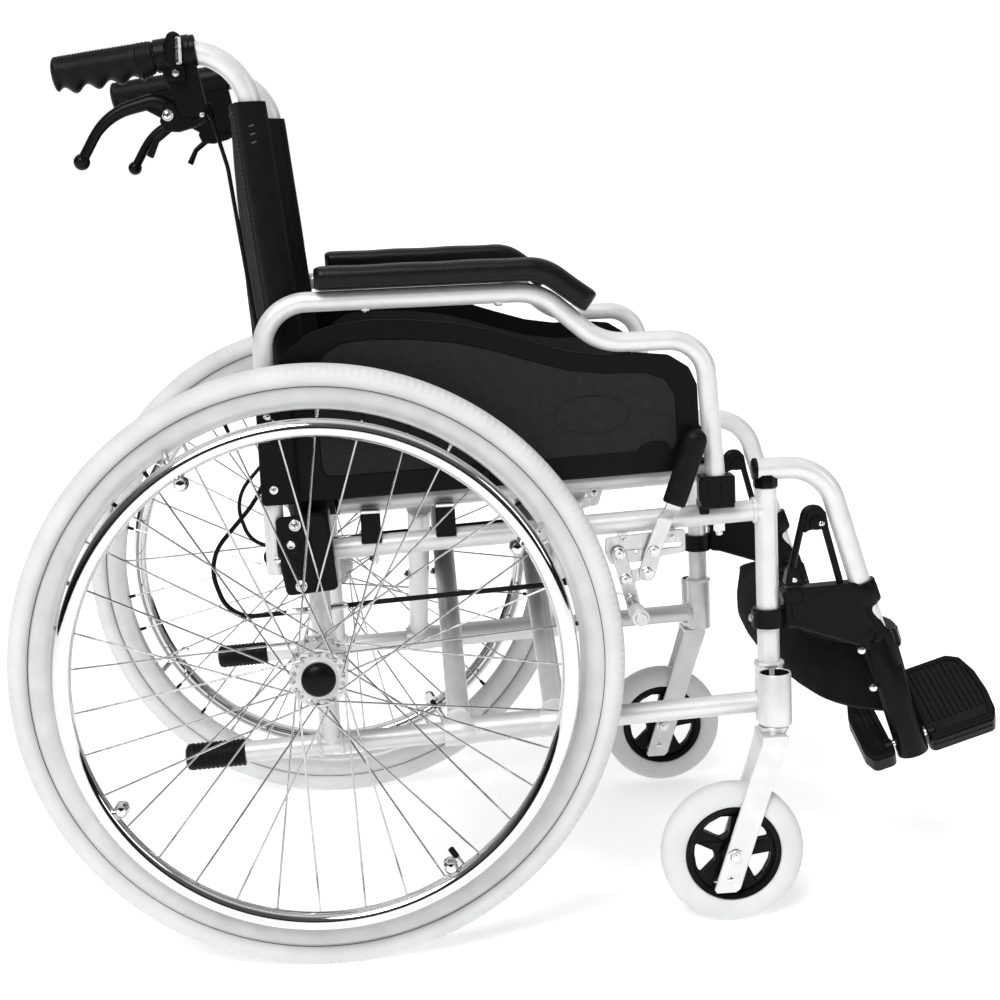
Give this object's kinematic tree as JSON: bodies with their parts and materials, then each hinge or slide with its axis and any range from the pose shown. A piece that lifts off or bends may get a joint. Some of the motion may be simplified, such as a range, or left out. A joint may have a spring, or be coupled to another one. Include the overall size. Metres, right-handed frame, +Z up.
{
  "type": "manual wheelchair",
  "caption": "Folding manual wheelchair with lift-up armrests, swing-away footrests, wheel locks and attendant hand brakes on the push handles.",
  "frame": {"origin": "middle of the footprint on the floor", "axes": "+X forward, +Y to the rider's left, +Z up"},
  "size_m": [1.0172, 0.663, 0.9291],
  "materials": {
    "silver_paint": "satin silver",
    "steel": "zinc plated",
    "alloy": "polished",
    "chrome": "polished",
    "black_plastic": "fine grain",
    "black_rubber": "matt",
    "sling_fabric": "woven nylon",
    "pad_vinyl": "moulded foam skin",
    "light_tyre": "matt light grey"
  },
  "bodies": {
    "frame_right": {"side_frame_right": "silver_paint", "push_grip_right": "black_rubber", "attendant_lever_bracket_right": "black_plastic", "brake_cable_right": "black_rubber", "armrest_pivot_plate_right": "black_plastic", "armrest_socket_right": "black_plastic", "seat_saddle_right": "black_plastic", "quick_release_axle_right": "steel", "wheel_lock_plate_right": "steel"},
    "frame_left": {"side_frame_left": "silver_paint", "push_grip_left": "black_rubber", "attendant_lever_bracket_left": "black_plastic", "brake_cable_left": "black_rubber", "armrest_pivot_plate_left": "black_plastic", "armrest_socket_left": "black_plastic", "seat_saddle_left": "black_plastic", "quick_release_axle_left": "steel", "wheel_lock_plate_left": "steel"},
    "brace_right": {"cross_brace_right": "silver_paint"},
    "brace_left": {"cross_brace_left": "silver_paint"},
    "seat_left": {"seat_sling_left": "sling_fabric"},
    "seat_right": {"seat_sling_right": "sling_fabric"},
    "back_right": {"back_sling_right": "sling_fabric"},
    "back_left": {"back_sling_left": "sling_fabric"},
    "armrest_right": {"armrest_tube_right": "silver_paint", "arm_pad_right": "pad_vinyl", "side_panel_right": "black_plastic"},
    "armrest_latch_right": {"armrest_latch_right": "black_plastic"},
    "attendant_lever_right": {"attendant_lever_right": "black_plastic"},
    "rear_wheel_right": {"rear_wheel_right": "alloy", "tyre_right": "light_tyre", "handrim_right": "chrome"},
    "caster_fork_right": {"caster_fork_right": "silver_paint"},
    "caster_wheel_right": {"caster_wheel_right": "light_tyre"},
    "hanger_right": {"hanger_tube_right": "silver_paint", "hanger_bracket_right": "black_plastic", "calf_strap_right": "sling_fabric"},
    "hanger_release_right": {"hanger_release_lever_right": "black_plastic"},
    "footplate_right": {"footplate_right": "black_plastic"},
    "wheel_lock_lever_right": {"wheel_lock_lever_right": "steel"},
    "wheel_lock_link_right": {"wheel_lock_link_right": "steel"},
    "wheel_lock_arm_right": {"wheel_lock_arm_right": "steel"},
    "armrest_left": {"armrest_tube_left": "silver_paint", "arm_pad_left": "pad_vinyl", "side_panel_left": "black_plastic"},
    "armrest_latch_left": {"armrest_latch_left": "black_plastic"},
    "attendant_lever_left": {"attendant_lever_left": "black_plastic"},
    "rear_wheel_left": {"rear_wheel_left": "alloy", "tyre_left": "light_tyre", "handrim_left": "chrome"},
    "caster_fork_left": {"caster_fork_left": "silver_paint"},
    "caster_wheel_left": {"caster_wheel_left": "light_tyre"},
    "hanger_left": {"hanger_tube_left": "silver_paint", "hanger_bracket_left": "black_plastic", "calf_strap_left": "sling_fabric"},
    "hanger_release_left": {"hanger_release_lever_left": "black_plastic"},
    "footplate_left": {"footplate_left": "black_plastic"},
    "wheel_lock_lever_left": {"wheel_lock_lever_left": "steel"},
    "wheel_lock_link_left": {"wheel_lock_link_left": "steel"},
    "wheel_lock_arm_left": {"wheel_lock_arm_left": "steel"}
  },
  "joints": [
    {"name": "fold", "type": "hinge", "parent": "frame_right", "child": "brace_right", "pos_m": [-0.064, -0.215, 0.21374], "axis": [0.9993, 0, 0.038], "range_deg": [0, 34], "deforming": ["seat_sling_right", "seat_sling_left", "back_sling_right", "back_sling_left", "calf_strap_right", "calf_strap_left"]},
    {"name": "brace_cross", "type": "hinge", "parent": "brace_right", "child": "brace_left", "pos_m": [-0.032, 0, 0.33866], "axis": [0.9993, 0, 0.038], "range_deg": [-69, 0]},
    {"name": "frame_left_fold", "type": "hinge", "parent": "brace_left", "child": "frame_left", "pos_m": [-0.094, 0.215, 0.2126], "axis": [0.9993, 0, 0.038], "range_deg": [0, 35]},
    {"name": "seat_left_fold", "type": "hinge", "parent": "brace_right", "child": "seat_left", "pos_m": [-0.002, 0.195, 0.4626], "axis": [0.9993, 0, 0.038], "range_deg": [-95.5, 0]},
    {"name": "seat_right_fold", "type": "hinge", "parent": "seat_left", "child": "seat_right", "pos_m": [-0.002, 0, 0.4506], "axis": [0.9993, 0, 0.038], "range_deg": [0, 121]},
    {"name": "back_right_fold", "type": "hinge", "parent": "frame_right", "child": "back_right", "pos_m": [-0.203, -0.215, 0.5], "axis": [-0.0995, 0, 0.995], "range_deg": [0, 61.5]},
    {"name": "back_left_fold", "type": "hinge", "parent": "back_right", "child": "back_left", "pos_m": [-0.237, 0, 0.5], "axis": [-0.0995, 0, 0.995], "range_deg": [-121, 0]},
    {"name": "armrest_flip_right", "type": "hinge", "parent": "frame_right", "child": "armrest_right", "pos_m": [-0.24, -0.241, 0.412], "axis": [0, -1, 0], "range_deg": [0, 95]},
    {"name": "armrest_latch_right", "type": "hinge", "parent": "frame_right", "child": "armrest_latch_right", "pos_m": [0.212, -0.2256, 0.455], "axis": [0, 1, 0], "range_deg": [0, 25], "stiffness_Nm_per_rad": 0.02},
    {"name": "attendant_lever_right", "type": "hinge", "parent": "frame_right", "child": "attendant_lever_right", "pos_m": [-0.319, -0.215, 0.852], "axis": [0, 1, 0], "range_deg": [0, 15], "stiffness_Nm_per_rad": 0.6, "springref_deg": -17.19},
    {"name": "rear_wheel_spin_right", "type": "hinge", "parent": "frame_right", "child": "rear_wheel_right", "pos_m": [-0.202, -0.2835, 0.305], "axis": [0, 1, 0], "continuous": true},
    {"name": "caster_swivel_right", "type": "hinge", "parent": "frame_right", "child": "caster_fork_right", "pos_m": [0.263, -0.243, 0.2], "axis": [0, 0, 1], "continuous": true},
    {"name": "caster_spin_right", "type": "hinge", "parent": "caster_fork_right", "child": "caster_wheel_right", "pos_m": [0.214, -0.243, 0.075], "axis": [0, 1, 0], "continuous": true},
    {"name": "hanger_swing_right", "type": "hinge", "parent": "frame_right", "child": "hanger_right", "pos_m": [0.263, -0.215, 0.316], "axis": [0, 0, -1], "range_deg": [0, 90]},
    {"name": "hanger_release_right", "type": "hinge", "parent": "hanger_right", "child": "hanger_release_right", "pos_m": [0.289, -0.215, 0.352], "axis": [0, -1, 0], "range_deg": [0, 12], "stiffness_Nm_per_rad": 0.2},
    {"name": "footplate_right", "type": "hinge", "parent": "hanger_right", "child": "footplate_right", "pos_m": [0.41142, -0.215, 0.176], "axis": [0.9593, 0, 0.2823], "range_deg": [-34, 34]},
    {"name": "wheel_lock_right", "type": "hinge", "parent": "frame_right", "child": "wheel_lock_lever_right", "pos_m": [0.142, -0.232, 0.3975], "axis": [0, 1, 0], "range_deg": [0, 19]},
    {"name": "wheel_lock_link_right", "type": "hinge", "parent": "wheel_lock_lever_right", "child": "wheel_lock_link_right", "pos_m": [0.135, -0.232, 0.3745], "axis": [0, 1, 0], "range_deg": [-50, 0]},
    {"name": "wheel_lock_arm_right", "type": "hinge", "parent": "frame_right", "child": "wheel_lock_arm_right", "pos_m": [0.1065, -0.232, 0.3955], "axis": [0, 1, 0], "range_deg": [0, 10]},
    {"name": "armrest_flip_left", "type": "hinge", "parent": "frame_left", "child": "armrest_left", "pos_m": [-0.24, 0.241, 0.412], "axis": [0, -1, 0], "range_deg": [0, 95]},
    {"name": "armrest_latch_left", "type": "hinge", "parent": "frame_left", "child": "armrest_latch_left", "pos_m": [0.212, 0.2256, 0.455], "axis": [0, 1, 0], "range_deg": [0, 25], "stiffness_Nm_per_rad": 0.02},
    {"name": "attendant_lever_left", "type": "hinge", "parent": "frame_left", "child": "attendant_lever_left", "pos_m": [-0.319, 0.215, 0.852], "axis": [0, 1, 0], "range_deg": [0, 15], "stiffness_Nm_per_rad": 0.6, "springref_deg": -17.19},
    {"name": "rear_wheel_spin_left", "type": "hinge", "parent": "frame_left", "child": "rear_wheel_left", "pos_m": [-0.202, 0.2835, 0.305], "axis": [0, 1, 0], "continuous": true},
    {"name": "caster_swivel_left", "type": "hinge", "parent": "frame_left", "child": "caster_fork_left", "pos_m": [0.263, 0.243, 0.2], "axis": [0, 0, 1], "continuous": true},
    {"name": "caster_spin_left", "type": "hinge", "parent": "caster_fork_left", "child": "caster_wheel_left", "pos_m": [0.214, 0.243, 0.075], "axis": [0, 1, 0], "continuous": true},
    {"name": "hanger_swing_left", "type": "hinge", "parent": "frame_left", "child": "hanger_left", "pos_m": [0.263, 0.215, 0.316], "axis": [0, 0, 1], "range_deg": [0, 90]},
    {"name": "hanger_release_left", "type": "hinge", "parent": "hanger_left", "child": "hanger_release_left", "pos_m": [0.289, 0.215, 0.352], "axis": [0, -1, 0], "range_deg": [0, 12], "stiffness_Nm_per_rad": 0.2},
    {"name": "footplate_left", "type": "hinge", "parent": "hanger_left", "child": "footplate_left", "pos_m": [0.41142, 0.215, 0.176], "axis": [-0.9593, 0, -0.2823], "range_deg": [0, 65]},
    {"name": "wheel_lock_left", "type": "hinge", "parent": "frame_left", "child": "wheel_lock_lever_left", "pos_m": [0.142, 0.232, 0.3975], "axis": [0, 1, 0], "range_deg": [0, 19]},
    {"name": "wheel_lock_link_left", "type": "hinge", "parent": "wheel_lock_lever_left", "child": "wheel_lock_link_left", "pos_m": [0.135, 0.232, 0.3745], "axis": [0, 1, 0], "range_deg": [-50, 0]},
    {"name": "wheel_lock_arm_left", "type": "hinge", "parent": "frame_left", "child": "wheel_lock_arm_left", "pos_m": [0.1065, 0.232, 0.3955], "axis": [0, 1, 0], "range_deg": [0, 10]}
  ],
  "couplings": [
    {"joint": "brace_cross", "follows": "fold", "ratio": -2},
    {"joint": "frame_left_fold", "follows": "fold", "ratio": 1},
    {"joint": "seat_left_fold", "follows": "fold", "ratio": -2.75},
    {"joint": "seat_right_fold", "follows": "fold", "ratio": 3.5},
    {"joint": "back_right_fold", "follows": "fold", "ratio": 1.75},
    {"joint": "back_left_fold", "follows": "fold", "ratio": -3.5},
    {"joint": "wheel_lock_link_right", "follows": "wheel_lock_right", "ratio": -1.76},
    {"joint": "wheel_lock_arm_right", "follows": "wheel_lock_right", "ratio": 0.34},
    {"joint": "wheel_lock_link_left", "follows": "wheel_lock_left", "ratio": -1.76},
    {"joint": "wheel_lock_arm_left", "follows": "wheel_lock_left", "ratio": 0.34}
  ]
}
